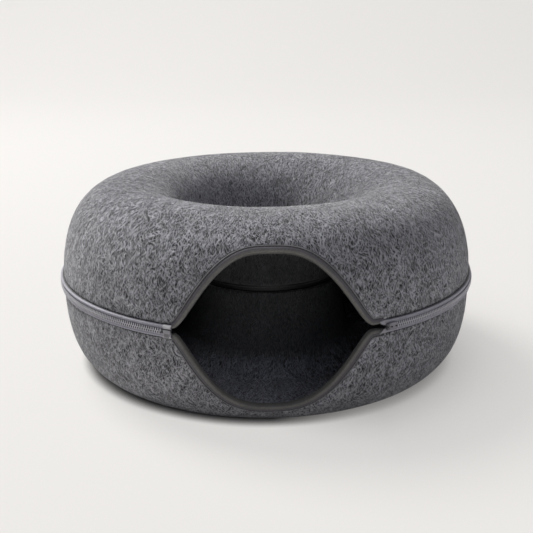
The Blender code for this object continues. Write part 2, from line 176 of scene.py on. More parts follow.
def skinPiece(name, sections, degrees, ring=False, marks=None):
    # a grid rolled round a row of sections: the seam is merged, the ends are filled, the UV map is in metres
    rows = np.array(list(sections) + list(sections[:1]) if ring else sections, float)
    along, around = len(rows) - 1, rows.shape[1]
    bpy.ops.mesh.primitive_grid_add(x_subdivisions=along, y_subdivisions=around, size=1)
    piece = newPiece(name)
    flat = np.empty(len(piece.data.vertices) * 3)
    piece.data.vertices.foreach_get("co", flat)
    flat = flat.reshape(-1, 3)
    i = np.rint((flat[:, 0] + 0.5) * along).astype(int)
    j = np.rint((flat[:, 1] + 0.5) * around).astype(int)
    piece.data.vertices.foreach_set("co", rows[i, j % around].ravel())
    loop = rows[along // 2]
    runAlong, runAround = distances(rows.mean(axis=1)), distances(np.append(loop, loop[:1], axis=0))
    corner = np.empty(len(piece.data.loops), int)
    piece.data.loops.foreach_get("vertex_index", corner)
    uv = np.stack([runAlong[i[corner]], runAround[j[corner]]], axis=1)
    piece.data.uv_layers[0].data.foreach_set("uv", uv.ravel())
    for mark, values in (marks or {}).items():
        markPoints(piece, mark, np.array(values, float)[i % len(values), j % around])
    setMode("EDIT")
    bpy.ops.mesh.select_all(action="SELECT")
    bpy.ops.mesh.remove_doubles(threshold=0.000001)
    if not ring:
        bpy.ops.mesh.select_all(action="DESELECT")
        bpy.ops.mesh.select_non_manifold()
        bpy.ops.mesh.fill_holes(sides=0)
    bpy.ops.mesh.select_all(action="SELECT")
    bpy.ops.mesh.normals_make_consistent(inside=False)
    setMode("OBJECT")
    smooth(piece, degrees)
    return piece


def repeatPiece(name, base, places):
    # copies of one small piece, each with its own mesh, joined into one object
    copies = []
    for place in places:
        copy = base.copy()
        copy.data = base.data.copy()
        copy.data.transform(place)
        bpy.context.scene.collection.objects.link(copy)
        copies.append(copy)
    bpy.data.objects.remove(base)
    pick(*copies)
    bpy.ops.object.join()
    copies[0].name = copies[0].data.name = name
    return copies[0]


def ringPoint(zipRing, angle, height, out):
    turn = math.radians(angle)
    reach = zipRing["radius"] + zipRing["side"] * out
    return (reach * math.sin(turn), cave["axisY"] - reach * math.cos(turn), cave["zipHeight"] + height)


def ringPlace(zipRing, angle):
    # brings a piece modelled at the world's middle, facing -Y, to its place on a zip
    facing = angle if zipRing["side"] > 0 else angle + 180
    there = Vector(ringPoint(zipRing, angle, 0, 0))
    return Matrix.Translation(there) @ Matrix.Rotation(math.radians(facing), 4, "Z")


def degreesFor(zipRing, length):
    return math.degrees(length / zipRing["radius"])


def partName(zipRing, half):
    return f"{zipRing['name']}_{half['name']}"


# node helpers

def rgb(r, g, b):
    return (r, g, b, 1.0)


def addNode(tree, kind, inputs=None, **settings):
    node = tree.nodes.new(kind)
    for key, value in settings.items():
        setattr(node, key, value)
    for key, value in (inputs or {}).items():
        if isinstance(value, bpy.types.NodeSocket):
            tree.links.new(value, node.inputs[key])
        else:
            node.inputs[key].default_value = value
    return node


def mathNode(tree, operation, *values):
    return addNode(tree, "ShaderNodeMath", dict(enumerate(values)), operation=operation).outputs[0]


def times(tree, a, b):
    return mathNode(tree, "MULTIPLY", a, b)


def vectorNode(tree, operation, inputs):
    return addNode(tree, "ShaderNodeVectorMath", inputs, operation=operation).outputs[0]


def noiseNode(tree, where, scale, detail=0.0, roughness=0.5, distortion=0.0, output="Fac"):
    inputs = {"Vector": where, "Scale": scale, "Detail": detail, "Roughness": roughness}
    return addNode(tree, "ShaderNodeTexNoise", {**inputs, "Distortion": distortion}).outputs[output]


def mapRange(tree, value, low, high, toLow=0.0, toHigh=1.0, **settings):
    inputs = {"Value": value, "From Min": low, "From Max": high, "To Min": toLow, "To Max": toHigh}
    return addNode(tree, "ShaderNodeMapRange", inputs, **settings).outputs["Result"]


def mixColour(tree, factor, a, b, blend="MIX"):
    inputs = {0: factor, 6: a, 7: b}
    return addNode(tree, "ShaderNodeMix", inputs, data_type="RGBA", blend_type=blend).outputs[2]


def toneColour(tree, colour, tone):
    # a colour made lighter or darker by a value
    grey = addNode(tree, "ShaderNodeCombineColor", {"Red": tone, "Green": tone, "Blue": tone})
    return mixColour(tree, 1.0, colour, grey.outputs[0], "MULTIPLY")


def addRamp(tree, value, stops):
    # stops from 0 to 1: (place, colour)
    ramp = addNode(tree, "ShaderNodeValToRGB", {"Fac": value})
    steps = ramp.color_ramp.elements
    steps[0].color = stops[0][1]
    steps[1].color = stops[-1][1]
    for spot, colour in stops[1:-1]:
        steps.new(spot).color = colour
    return ramp.outputs["Color"]


def objectPlace(tree):
    return tree.nodes.new("ShaderNodeTexCoord").outputs["Object"]


def mapParts(tree):
    # how far a point lies along its piece and round it
    where = tree.nodes.new("ShaderNodeUVMap").outputs["UV"]
    part = addNode(tree, "ShaderNodeSeparateXYZ", {0: where})
    return part.outputs["X"], part.outputs["Y"]


def readMark(tree, mark):
    return addNode(tree, "ShaderNodeAttribute", attribute_name=mark).outputs["Fac"]


def newGroup(name, inputs, outputs):
    # gives the tree, the sockets that its inputs come from and those that its outputs go to
    tree = bpy.data.node_groups.new(name, "ShaderNodeTree")
    for way, sockets in (("INPUT", inputs), ("OUTPUT", outputs)):
        for socket, kind in sockets.items():
            tree.interface.new_socket(socket, in_out=way, socket_type="NodeSocket" + kind)
    return tree, tree.nodes.new("NodeGroupInput").outputs, tree.nodes.new("NodeGroupOutput").inputs


def useGroup(tree, name, inputs):
    return addNode(tree, "ShaderNodeGroup", inputs, node_tree=groups[name])


def makeHairGroup():
    # fine hairs of one size that run over the tube and lean a little to one side, as a mask
    sockets = {"Facing": "Vector", "Run": "Float", "Lean": "Float", "Scale": "Float", "Width": "Float"}
    tree, given, wanted = newGroup("feltHairs", sockets, {"Hair": "Float"})
    squeeze = 0.28  # the noise changes this much slower along a hair than across it
    lean = {"Vector": given["Facing"], "Angle": times(tree, given["Run"], given["Lean"])}
    turned = addNode(tree, "ShaderNodeVectorRotate", lean, rotation_type="Z_AXIS")
    drawn = addNode(tree, "ShaderNodeCombineXYZ", {"Z": times(tree, given["Run"], squeeze)})
    place = vectorNode(tree, "ADD", {0: turned.outputs[0], 1: drawn.outputs[0]})
    field = noiseNode(tree, place, given["Scale"])
    fromMiddle = mathNode(tree, "ABSOLUTE", mathNode(tree, "SUBTRACT", field, 0.5))
    tree.links.new(mapRange(tree, fromMiddle, 0.0, given["Width"], 1.0, 0.0), wanted["Hair"])
    return tree


def makeVariationGroup():
    # broad soft variation of tone, as dust and handling leave on every finish
    sockets = {"Colour": "Color", "Scale": "Float", "Amount": "Float"}
    tree, given, wanted = newGroup("softVariation", sockets, {"Colour": "Color", "Mask": "Float"})
    cloud = noiseNode(tree, objectPlace(tree), given["Scale"], detail=3.0, roughness=0.6)
    mask = mapRange(tree, cloud, 0.3, 0.7)
    tone = mathNode(tree, "MULTIPLY_ADD", mathNode(tree, "SUBTRACT", mask, 0.5), given["Amount"], 1.0)
    tree.links.new(toneColour(tree, given["Colour"], tone), wanted["Colour"])
    tree.links.new(mask, wanted["Mask"])
    return tree


def makeWeaveGroup():
    # woven tape: threads along and across the UV map, which is in metres
    sockets = {"Along": "Float", "Across": "Float", "Slant": "Float"}
    tree, given, wanted = newGroup("tapeWeave", sockets, {"Height": "Float", "Rib": "Float"})
    along, around = mapParts(tree)
    slanted = mathNode(tree, "MULTIPLY_ADD", along, given["Slant"], around)
    alongWave = mathNode(tree, "SINE", times(tree, along, given["Along"]))
    acrossWave = mathNode(tree, "SINE", times(tree, slanted, given["Across"]))
    woven = times(tree, alongWave, acrossWave)
    tree.links.new(mapRange(tree, woven, -1.0, 1.0), wanted["Height"])
    tree.links.new(mapRange(tree, acrossWave, -1.0, 1.0), wanted["Rib"])
    return tree


groups = {"hairs": makeHairGroup(), "variation": makeVariationGroup(), "weave": makeWeaveGroup()}


def addVariation(tree, colour, scale, amount):
    return useGroup(tree, "variation", {"Colour": colour, "Scale": scale, "Amount": amount})


def newMaterial(name, **settings):
    material = bpy.data.materials.new(name)
    material.use_nodes = True
    tree = material.node_tree
    shader = tree.nodes["Principled BSDF"]
    for key, value in settings.items():
        shader.inputs[key.replace("_", " ")].default_value = value
    return material, tree, shader


def addBump(tree, shader, height, look):
    inputs = {"Height": height, "Strength": look["bump"], "Distance": look["bumpDepth"]}
    tree.links.new(addNode(tree, "ShaderNodeBump", inputs).outputs["Normal"], shader.inputs["Normal"])


feltLook = dict(
    dark=rgb(0.003, 0.003, 0.004), middle=rgb(0.051, 0.0505, 0.055), light=rgb(0.610, 0.606, 0.642),
    ground=(0.37, 0.63),  # the grain runs from dark to light between these
    grainScale=380.0, cloudScale=60.0, cloudShare=0.2,
    swirlScale=45.0, swirl=0.014,
    hairRing=0.215,  # the hairs are laid out on a ring of this radius
    hairs=(  # tone, scale, lean, width, share, lift
        ("dark", 370.0, 1.1, 0.12, 0.90, -0.3),
        ("dark", 520.0, -2.8, 0.11, 0.86, -0.3),
        ("light", 360.0, -1.8, 0.068, 0.72, 0.4),
        ("light", 460.0, 3.2, 0.068, 0.70, 0.4),
        ("light", 600.0, 0.2, 0.076, 0.68, 0.4),
    ),
    patchScale=16.0, patchAmount=0.28,
    # painted shade in the creases beside the seams, broken into dashes
    crease=rgb(0.012, 0.012, 0.013),
    dashScale=260.0, dash=(0.35, 0.6, 0.5, 1.0),  # the crease along a seam breaks up into dashes
    # painted shade deep inside the tunnel, towards the column
    inside=rgb(0.042, 0.045, 0.048), insideShare=0.68,
    # painted light: a lighter, bluer inner floor and lower inner walls
    paintedInsideLight=rgb(1.26, 1.30, 1.38),
    bump=0.8, bumpDepth=0.0014,
)


def makeFelt():
    # heathered grey felt: light and dark hairs matted into a grainy ground, with painted shade where a seam
    # pulls it in, painted shade deep inside and painted light on the inner floor
    look = feltLook
    fuzz = {"Roughness": 0.95, "Sheen_Weight": 0.3, "Sheen_Roughness": 0.45}
    material, tree, shader = newMaterial("heatherFelt", **fuzz)
    where = objectPlace(tree)
    swirl = noiseNode(tree, where, look["swirlScale"], detail=1.0, output="Color")
    offset = vectorNode(tree, "SUBTRACT", {0: swirl, 1: (0.5, 0.5, 0.5)})
    pushed = vectorNode(tree, "SCALE", {0: offset, "Scale": look["swirl"]})
    bent = vectorNode(tree, "ADD", {0: where, 1: pushed})

    # the way round the ring as a point on a level circle, and the way over the tube from the mesh
    fromAxis = {"Vector": bent, "Location": (0, -cave["axisY"], 0), "Scale": (1, 1, 0)}
    unit = vectorNode(tree, "NORMALIZE", {0: addNode(tree, "ShaderNodeMapping", fromAxis).outputs[0]})
    facing = vectorNode(tree, "SCALE", {0: unit, "Scale": look["hairRing"]})
    pushedUp = addNode(tree, "ShaderNodeSeparateXYZ", {0: pushed}).outputs["Z"]
    run = mathNode(tree, "ADD", readMark(tree, "over"), pushedUp)

    grain = noiseNode(tree, bent, look["grainScale"], detail=3.0, roughness=0.9, distortion=0.3)
    cloud = noiseNode(tree, bent, look["cloudScale"], detail=1.0)
    grainPart = times(tree, grain, 1 - look["cloudShare"])
    cloudPart = times(tree, cloud, look["cloudShare"])
    height = ground = mathNode(tree, "ADD", grainPart, cloudPart)
    tones = ((0.0, look["dark"]), (0.5, look["middle"]), (1.0, look["light"]))
    colour = addRamp(tree, mapRange(tree, ground, *look["ground"]), tones)
    for tone, scale, lean, width, share, lift in look["hairs"]:
        inputs = {"Facing": facing, "Run": run, "Lean": lean, "Scale": scale, "Width": width}
        hair = useGroup(tree, "hairs", inputs).outputs["Hair"]
        colour = mixColour(tree, times(tree, hair, share), colour, look[tone])
        height = mathNode(tree, "ADD", height, times(tree, hair, lift))

    varied = addVariation(tree, colour, look["patchScale"], look["patchAmount"]).outputs["Colour"]
    # painted shade deep inside the tunnel
    inside = times(tree, readMark(tree, "inside"), look["insideShare"])
    insideShading = mixColour(tree, inside, varied, look["inside"])
    # painted light on the inner floor and walls
    paintedLight = mixColour(tree, 1.0, varied, look["paintedInsideLight"], "MULTIPLY")
    insideShading = mixColour(tree, readMark(tree, "paintedInsideLight"), insideShading, paintedLight)
    # painted shade in the seam creases
    dash = mapRange(tree, noiseNode(tree, where, look["dashScale"]), *look["dash"])
    crease = times(tree, readMark(tree, "crease"), dash)
    tree.links.new(mixColour(tree, crease, insideShading, look["crease"]), shader.inputs["Base Color"])
    addBump(tree, shader, height, look)
    return material


# woven tape; its tones: distance round the outline, from its first point, in millimetres, and colour; over
# the tape's own colour they hold painted shade and painted highlights
# binding: painted shade at the felt's edge, in the groove, under the nose and on the inner leg, and painted
# highlights on the ridge and the rolled edge
bindingShadedTones = (
    (0.0, 0.014, 0.014, 0.015), (0.3, 0.030, 0.029, 0.031), (0.8, 0.310, 0.300, 0.312),
    (1.7, 0.270, 0.260, 0.272), (2.2, 0.040, 0.038, 0.042), (3.3, 0.030, 0.028, 0.032),
    (4.0, 0.115, 0.108, 0.122), (6.0, 0.104, 0.098, 0.108), (7.3, 0.175, 0.170, 0.158),
    (9.7, 0.200, 0.194, 0.179), (10.6, 0.130, 0.125, 0.116), (14.0, 0.080, 0.077, 0.072),
    (26.0, 0.035, 0.034, 0.034),
)
# zip tape: painted shade between and under the teeth, in the groove under the hem, on the hem's outer side
# and on the tape's back
tapeShadedTones = (
    (0.0, 0.026, 0.025, 0.028), (2.6, 0.030, 0.029, 0.033), (3.3, 0.370, 0.359, 0.416),
    (4.2, 0.430, 0.417, 0.484), (4.8, 0.340, 0.330, 0.383), (5.5, 0.350, 0.340, 0.396),
    (7.4, 0.400, 0.389, 0.449), (8.9, 0.190, 0.184, 0.216), (9.9, 0.036, 0.036, 0.038),
    (18.0, 0.036, 0.036, 0.038),
)
wovenLook = dict(
    bare=rgb(0.46, 0.445, 0.48),  # the spread ends of the tapes have this one tone
    ribShade=0.3,
    speckScale=520.0, speckAmount=0.35,
    patchScale=60.0, patchAmount=0.2,
    bump=0.35, bumpDepth=0.00015,
)


def makeWoven(name, tones, threads, roughness, sheen):
    # the tones, with their painted shade and highlights, lie in bands across the UV map, which is in metres
    look = wovenLook
    material, tree, shader = newMaterial(name, Roughness=roughness, Sheen_Weight=sheen, Sheen_Roughness=0.4)
    weave = useGroup(tree, "weave", threads)
    reach = tones[-1][0]
    around = mapRange(tree, mapParts(tree)[1], 0.0, reach * mm)
    shadedBands = addRamp(tree, around, [(spot / reach, rgb(*colour)) for spot, *colour in tones])
    toned = mixColour(tree, readMark(tree, "bare"), shadedBands, look["bare"])
    rib = mapRange(tree, weave.outputs["Rib"], 0.0, 1.0, 0.0, look["ribShade"])
    ribbed = mixColour(tree, rib, toned, rgb(0, 0, 0))
    speckled = addVariation(tree, ribbed, look["speckScale"], look["speckAmount"]).outputs["Colour"]
    varied = addVariation(tree, speckled, look["patchScale"], look["patchAmount"]).outputs["Colour"]
    tree.links.new(varied, shader.inputs["Base Color"])
    addBump(tree, shader, weave.outputs["Height"], look)
    return material


# moulded, painted and sewn finishes
plainLook = dict(
    # painted shade in the recesses
    recess=0.12,  # a recess keeps this share of the colour
    proud=(0.25, 0.95),
    grainScale=1500.0, bump=0.08, bumpDepth=0.0002,
)


def makePlain(name, colour, worn, variation, scale, mark=None, **settings):
    # a mark on the mesh keeps the full colour on what stands proud and paints shade into the recesses
    look = plainLook
    material, tree, shader = newMaterial(name, **settings)
    varied = addVariation(tree, colour, scale, variation)
    shown = varied.outputs["Colour"]
    if mark:
        dim = rgb(*[channel * look["recess"] for channel in colour[:3]])
        shown = mixColour(tree, mapRange(tree, readMark(tree, mark), *look["proud"]), dim, shown)
    tree.links.new(shown, shader.inputs["Base Color"])
    glossy, dull = settings["Roughness"] - worn, settings["Roughness"] + worn
    rough = mapRange(tree, varied.outputs["Mask"], 0.0, 1.0, glossy, dull)
    tree.links.new(rough, shader.inputs["Roughness"])
    fine = noiseNode(tree, objectPlace(tree), look["grainScale"], detail=2.0)
    addBump(tree, shader, fine, look)
    return material


bindingThreads = dict(Along=5200.0, Across=6200.0, Slant=0.0)
tapeThreads = dict(Along=4200.0, Across=7400.0, Slant=0.5)
castPaint = dict(Roughness=0.42, Metallic=0.2, Coat_Weight=0.15)
finishes = dict(
    felt=makeFelt(),
    binding=makeWoven("bindingWeave", bindingShadedTones, bindingThreads, roughness=0.8, sheen=0.2),
    tape=makeWoven("zipTapeWeave", tapeShadedTones, tapeThreads, roughness=0.52, sheen=0.25),
    # colour, wear of the gloss, amount and scale of the variation
    teeth=makePlain("mouldedTeeth", rgb(0.62, 0.61, 0.645), 0.06, 0.12, 90.0, "proud", Roughness=0.36),
    stops=makePlain("stampedStops", rgb(0.10, 0.097, 0.11), 0.06, 0.12, 90.0, Roughness=0.36),
    slider=makePlain("sliderPaint", rgb(0.23, 0.222, 0.245), 0.08, 0.15, 120.0, "proud", **castPaint),
    paint=makePlain("backPlatePaint", rgb(0.20, 0.193, 0.215), 0.08, 0.15, 120.0, **castPaint),
    box=makePlain("mouldedBox", rgb(0.35, 0.34, 0.36), 0.06, 0.15, 200.0, "proud", Roughness=0.4),
    film=makePlain("endFilm", rgb(0.58, 0.57, 0.59), 0.06, 0.1, 150.0, Roughness=0.25, Coat_Weight=0.25),
    thread=makePlain(
        "sewingThread", rgb(0.075, 0.072, 0.077), 0.05, 0.2, 300.0, Roughness=0.7, Sheen_Weight=0.2
    ),
    seamThread=makePlain("darkThread", rgb(0.030, 0.029, 0.032), 0.05, 0.2, 300.0, Roughness=0.75),
)
print("finishes made:", len(finishes))


# felt shells
feltDetail = dict(
    curvePoints=2401,
    doorStep=0.5, backStep=1.5,  # degrees between columns across the doorway and behind it
    doorRows=14, bodyRows=54, innerRows=30,
    edgeRound=0.0010, pastDoor=0.0130, beforeHole=0.0062,
    lump=0.0009, lumpSize=0.085, grain=0.00022, grainSize=0.011,
    fade=0.030,
    floorFade=1.5,  # the unevenness sets in this much faster above the floor
    # beside a zip the seam pulls the felt in: (distance from the felt's edge, depth, darkness of the painted
    # shade in the crease)
    dip=(
        (0.0019, 0.0, 0.3), (0.0023, 0.0006, 1.0), (0.0027, 0.0007, 0.8),
        (0.0030, 0.0004, 0.15), (0.0042, 0.0001, 0.0),
    ),
    lowerShift=0.0014,  # the lower seam shows further down, past the hem that hides it
    besideBinding=0.0012,
    # painted shade in the felt's crease beside the binding
    bindingDark=0.9,  # darkness of the felt's crease beside the binding
    slitEnd=0.0005,
    # inside, painted shade darkens the felt towards the column and painted light lightens it towards the
    # floor
    insideShadeFrom=0.5, insideShadeOver=0.2,
    paintedLightBelow=0.035, paintedLightOver=0.02, paintedLightLeast=0.5,
)


def feltCurve(half):
    # the felt's outer face in section, from the zip plane over to the middle hole
    turns = np.linspace(0, math.pi, feltDetail["curvePoints"])
    power = 2 / half["fullness"]
    across = np.cos(turns)
    radius = cave["tubeMiddle"] + cave["tubeHalf"] * np.sign(across) * np.abs(across) ** power
    height = np.minimum(half["reach"] * np.abs(np.sin(turns)) ** power, half["flat"])
    run = distances(np.stack([radius, height], axis=1))
    tangentR, tangentH = np.gradient(radius, run), np.gradient(height, run)
    size = np.hypot(tangentR, tangentH)
    rising = slice(len(height) // 2)
    curve = dict(run=run, radius=radius, height=height, outR=tangentH / size, outH=-tangentR / size)
    curve["reach"] = lambda h: float(np.interp(h, height[rising], run[rising]))
    curve["length"] = float(run[-1]) - curve["reach"](cave["feltEdge"])
    return curve


curves = {half["name"]: feltCurve(half) for half in (upper, lower)}


def edgeHeight(half, angle):
    door = half["door"]
    fromPeak = angle + door["lean"]
    share = min(abs(fromPeak) / (doorway["half"] + math.copysign(door["lean"], fromPeak)), 1)
    lens = (1 - share ** door["flank"]) ** door["shoulder"]
    return cave["feltEdge"] + (door["reach"] - cave["feltEdge"]) * lens


def cutRun(half, angle):
    return curves[half["name"]]["reach"](edgeHeight(half, angle))


def feltPoint(half, angle, run, out):
    # a point that lies off the felt's face at a run along its section
    curve = curves[half["name"]]
    parts = [np.interp(run, curve["run"], curve[part]) for part in ("radius", "height", "outR", "outH")]
    radius, height, outR, outH = parts
    turn = math.radians(angle)
    reach = radius + outR * out
    return Vector((
        reach * math.sin(turn),
        cave["axisY"] - reach * math.cos(turn),
        cave["zipHeight"] + half["side"] * (height + outH * out),
    ))


def edgeStretch(half, angle):
    # how much longer a step across the cut edge gets along the section
    step = 0.4
    spots = (angle - step, angle, angle + step)
    before, here, after = [feltPoint(half, spot, cutRun(half, spot), 0) for spot in spots]
    inward = feltPoint(half, angle, cutRun(half, angle) + mm, 0) - here
    return 1 / (after - before).normalized().cross(inward.normalized()).length


def feltLump(point, run, cut, length):
    # gentle unevenness that dies away at the sewn edges and on the floor
    fade = clamped(min(run - cut, length - run, point.z * feltDetail["floorFade"]) / feltDetail["fade"])
    broad = noise.noise(point / feltDetail["lumpSize"]) * feltDetail["lump"]
    fine = noise.noise(point / feltDetail["grainSize"]) * feltDetail["grain"]
    return (broad + fine) * fade


def feltSection(half, angle):
    detail = feltDetail
    curve = curves[half["name"]]
    cut, length, stretch = cutRun(half, angle), curve["length"], edgeStretch(half, angle)
    shared = curve["reach"](half["door"]["reach"]) + detail["pastDoor"]
    bound = cut + cave["bindingWidth"] * stretch
    atDoor = cut > curve["reach"](cave["feltEdge"]) + detail["slitEnd"]
    soft, wall = detail["edgeRound"], cave["wall"]

    def rows(bodyRows):
        beside = bound + detail["besideBinding"] * stretch
        door = np.linspace(beside, shared, detail["doorRows"], endpoint=False)
        return [*door, *np.linspace(shared, length - detail["beforeHole"], bodyRows)]

    shift = detail["lowerShift"] if half["side"] < 0 else 0
    path = [(cut + soft, 0, 0)]
    path += [(cut + run + shift, -depth, dark) for run, depth, dark in detail["dip"]]
    path += [(bound, 0, detail["bindingDark"] if atDoor else 0.0)]
    path += [(run, 0, 0) for run in rows(detail["bodyRows"])]
    path += [(length - run, -depth, dark) for run, depth, dark in reversed(detail["dip"])]
    path += [(length - soft, 0, 0), (length, -soft, 0), (length, soft - wall, 0), (length - soft, -wall, 0)]
    path += [(run, -wall, 0) for run in reversed(rows(detail["innerRows"]))]
    path += [(cut + soft, -wall, 0), (cut, soft - wall, 0), (cut, -soft, 0)]
    points, marks = [], []
    for run, out, dark in path:
        point = feltPoint(half, angle, run, out)
        points.append(feltPoint(half, angle, run, out + feltLump(point, run, cut, length)))
        insideShading, paintedLight = 0.0, 0.0
        if out < -wall / 2:  # the inner face
            # painted shade deep inside, towards the column
            insideShading = clamped((run / length - detail["insideShadeFrom"]) / detail["insideShadeOver"])
            # painted light on the inner floor, and at half strength on the rest of the tunnel's outer wall
            low = (detail["paintedLightBelow"] - point.z) / detail["paintedLightOver"]
            paintedLight = clamped(low, detail["paintedLightLeast"] - insideShading)
            run = 2 * length + wall - run
        marks.append((dark, insideShading, run, paintedLight))
    return points, marks


def feltShell(half):
    edge, tail = doorway["half"], doorway["tail"]
    acrossDoor = evenSteps(-edge, edge, feltDetail["doorStep"], closed=False)
    behind = evenSteps(edge + tail, 360 - edge, feltDetail["backStep"], closed=False)
    made = [feltSection(half, angle) for angle in [*acrossDoor, edge, edge + tail / 2, *behind]]
    values = np.array([marks for points, marks in made])
    marks = {mark: values[:, :, k] for k, mark in enumerate(("crease", "inside", "over", "paintedInsideLight"))}
    sections = [points for points, marks in made]
    shell = skinPiece(half["name"] + "_felt_shell", sections, ring=True, degrees=50, marks=marks)
    dress(shell, finishes["felt"], half["body"], "felt", half["name"] + "_shell")


for half in (upper, lower):
    feltShell(half)
print("felt shells made")


# stitches: threads that are fat in the middle and dive into the cloth at both ends
stitchDetail = dict(sides=6, full=0.28, dive=0.4, thin=0.5, sink=1.2)  # as shares of its size


def stitchBase(length, radius):
    # one stitch that lies along X and faces -Y
    detail = stitchDetail
    bpy.ops.mesh.primitive_cylinder_add(
        vertices=detail["sides"], radius=radius, depth=length, rotation=(0, math.pi / 2, 0)
    )
    stitch = newPiece("stitch")
    sliceAcross((length * detail["full"], -length * detail["full"]), (1, 0, 0))
    for point in stitch.data.vertices:
        if abs(point.co.x) > length * detail["dive"]:
            point.co.y = point.co.y * detail["thin"] + radius * detail["sink"]
            point.co.z *= detail["thin"]
    smooth(stitch, 60)
    return stitch


def pointAlong(line, run, spot):
    return Vector([np.interp(spot, run, line[:, k]) for k in range(3)])


def stitchPlaces(points, outs, pitch):
    # places at even steps along a line of points, turned to lie along it and face out
    run = distances(points)
    count = int(run[-1] / pitch)
    line, facing = np.array(points), np.array(outs)
    places = []
    for spot in (np.arange(count) + 0.5) * run[-1] / count:
        before, here, after = [pointAlong(line, run, spot + d) for d in (-pitch / 4, 0, pitch / 4)]
        out = pointAlong(facing, run, spot).normalized()
        along = (after - before).normalized()
        up = along.cross(-out).normalized()
        turn = Matrix((along, -out, up)).transposed().to_4x4()
        places.append(Matrix.Translation(here) @ turn)
    return places


def sewStitches(name, detail, start, end, seamPoint):
    # a row of stitches between two angles; seamPoint gives a point of the seam, or one that lies off it
    angles = np.linspace(start + detail["seamStart"], end - detail["seamEnd"], detail["seamPoints"])
    points = [seamPoint(angle, 0) for angle in angles]
    outs = [seamPoint(angle, 1) - point for angle, point in zip(angles, points)]
    places = stitchPlaces(points, outs, detail["stitchPitch"])
    return repeatPiece(name, stitchBase(detail["stitchLength"], detail["stitchRadius"]), places)


# binding round the doorway: (distance from the cut into the felt, distance off its face), in millimetres
bindingDetail = dict(
    step=0.5,
    outline=(
        (6.3, 0.3), (6.6, 0.7), (6.4, 1.2), (5.8, 1.35), (5.3, 1.1), (4.9, 0.75), (4.4, 0.8), (4.0, 1.25),
        (3.2, 1.5), (1.9, 1.6), (0.6, 1.55), (-0.5, 1.25), (-1.15, 0.5), (-1.4, -0.6), (-1.45, -2.5),
        (-1.4, -4.4), (-1.15, -5.5), (-0.5, -6.2), (0.6, -6.5), (3.4, -6.4), (5.2, -6.2), (6.2, -6.15),
        (6.45, -5.7), (6.3, -5.3), (3.0, -5.3), (0.3, -5.3), (-0.3, -4.9), (-0.35, -2.5), (-0.3, -0.1),
        (0.3, 0.3), (3.0, 0.3),
    ),
    pucker=0.2, puckerSize=0.0042,
    puckerFrom=(-1, 0.3),  # past this edge and above this face the binding puckers
    seamStart=1.2, seamEnd=0.4, seamPoints=160,  # degrees from the binding's ends
    stitchAcross=4.65, stitchOut=0.95,
    stitchLength=0.0027, stitchPitch=0.0034, stitchRadius=0.00028,
)


def bindingPoint(half, angle, across, out):
    run = cutRun(half, angle) + across * mm * edgeStretch(half, angle)
    return feltPoint(half, angle, run, out * mm)


def bindingSection(half, angle):
    detail = bindingDetail
    edge, face = detail["puckerFrom"]
    section = []
    for across, out in detail["outline"]:
        point = bindingPoint(half, angle, across, out)
        if out > face or across < edge:
            pull = noise.noise(point / detail["puckerSize"]) * detail["pucker"]
            point = bindingPoint(half, angle, across, out + pull)
        section.append(point)
    return section


def doorBinding(half):
    angles = evenSteps(-doorway["half"], doorway["half"] + doorway["tail"], bindingDetail["step"])
    sections = [bindingSection(half, angle) for angle in angles]
    piece = skinPiece(half["name"] + "_binding", sections, degrees=55)
    dress(piece, finishes["binding"], half["body"], "binding", half["name"] + "_door_binding")


def bindingStitches(half):
    def seamPoint(angle, lift):
        return bindingPoint(half, angle, bindingDetail["stitchAcross"], bindingDetail["stitchOut"] + lift)

    start, end = -doorway["half"], doorway["half"] + doorway["tail"]
    row = sewStitches(half["name"] + "_binding_stitches", bindingDetail, start, end, seamPoint)
    dress(row, finishes["thread"], half["body"], "binding")


for half in (upper, lower):
    doorBinding(half)
    bindingStitches(half)
print("doorway bound")


# zip tapes: (height from the zip's middle, distance off the felt's face), in millimetres
tapeDetail = dict(
    outline=(
        (0.3, 1.7), (0.3, 2.45), (1.6, 2.5), (3.0, 2.5), (3.8, 2.7), (4.25, 3.0), (4.6, 3.5), (5.1, 3.8),
        (5.7, 3.75), (6.25, 3.4), (6.65, 2.7), (6.85, 1.7), (6.9, 0.35), (5.8, 0.35), (4.6, 0.35), (4.3, 1.1),
        (3.9, 1.7), (1.8, 1.7),
    ),
    edges=(0.3, 6.9),
    step=1.0,
    # the outer tapes spread to the doorway's corner past the slider
    flareFrom=25.9, flareTo=5.0, flareEase=1.3, flareColumns=8,
    bareSoon=4, liftSoon=3, curlSoon=2,  # these changes come on early in the spread
    lift=1.9,  # the spread ends lie no closer to the felt than this
    curl=1.9, curlWidth=3, endCurl=1.6, endCurlSpan=1.4,  # and their free edge rolls outwards
    hemFrom=2.6,
    lowerHem=0.35,  # the lower hem lies this much flatter than the upper one
    rightHem=0.35,  # and so does the upper one where the zip leaves the doorway on the right
    rightUntil=105, rightFade=30,
    seamStart=2, seamEnd=3.5, seamPoints=360,  # degrees from the tape's ends
    stitchHeight=7.4, stitchOut=-0.45,
    stitchLength=0.0031, stitchPitch=0.0040, stitchRadius=0.00032,
)


def tapeFlare(zipRing, angle):
    # how far the tape's inner edge has left the chain towards the doorway's corner
    if zipRing["side"] < 0 or angle >= zipRing["firstTooth"]:
        return 0
    share = (zipRing["firstTooth"] - angle) / (zipRing["firstTooth"] - tapeDetail["flareFrom"])
    return share ** tapeDetail["flareEase"]


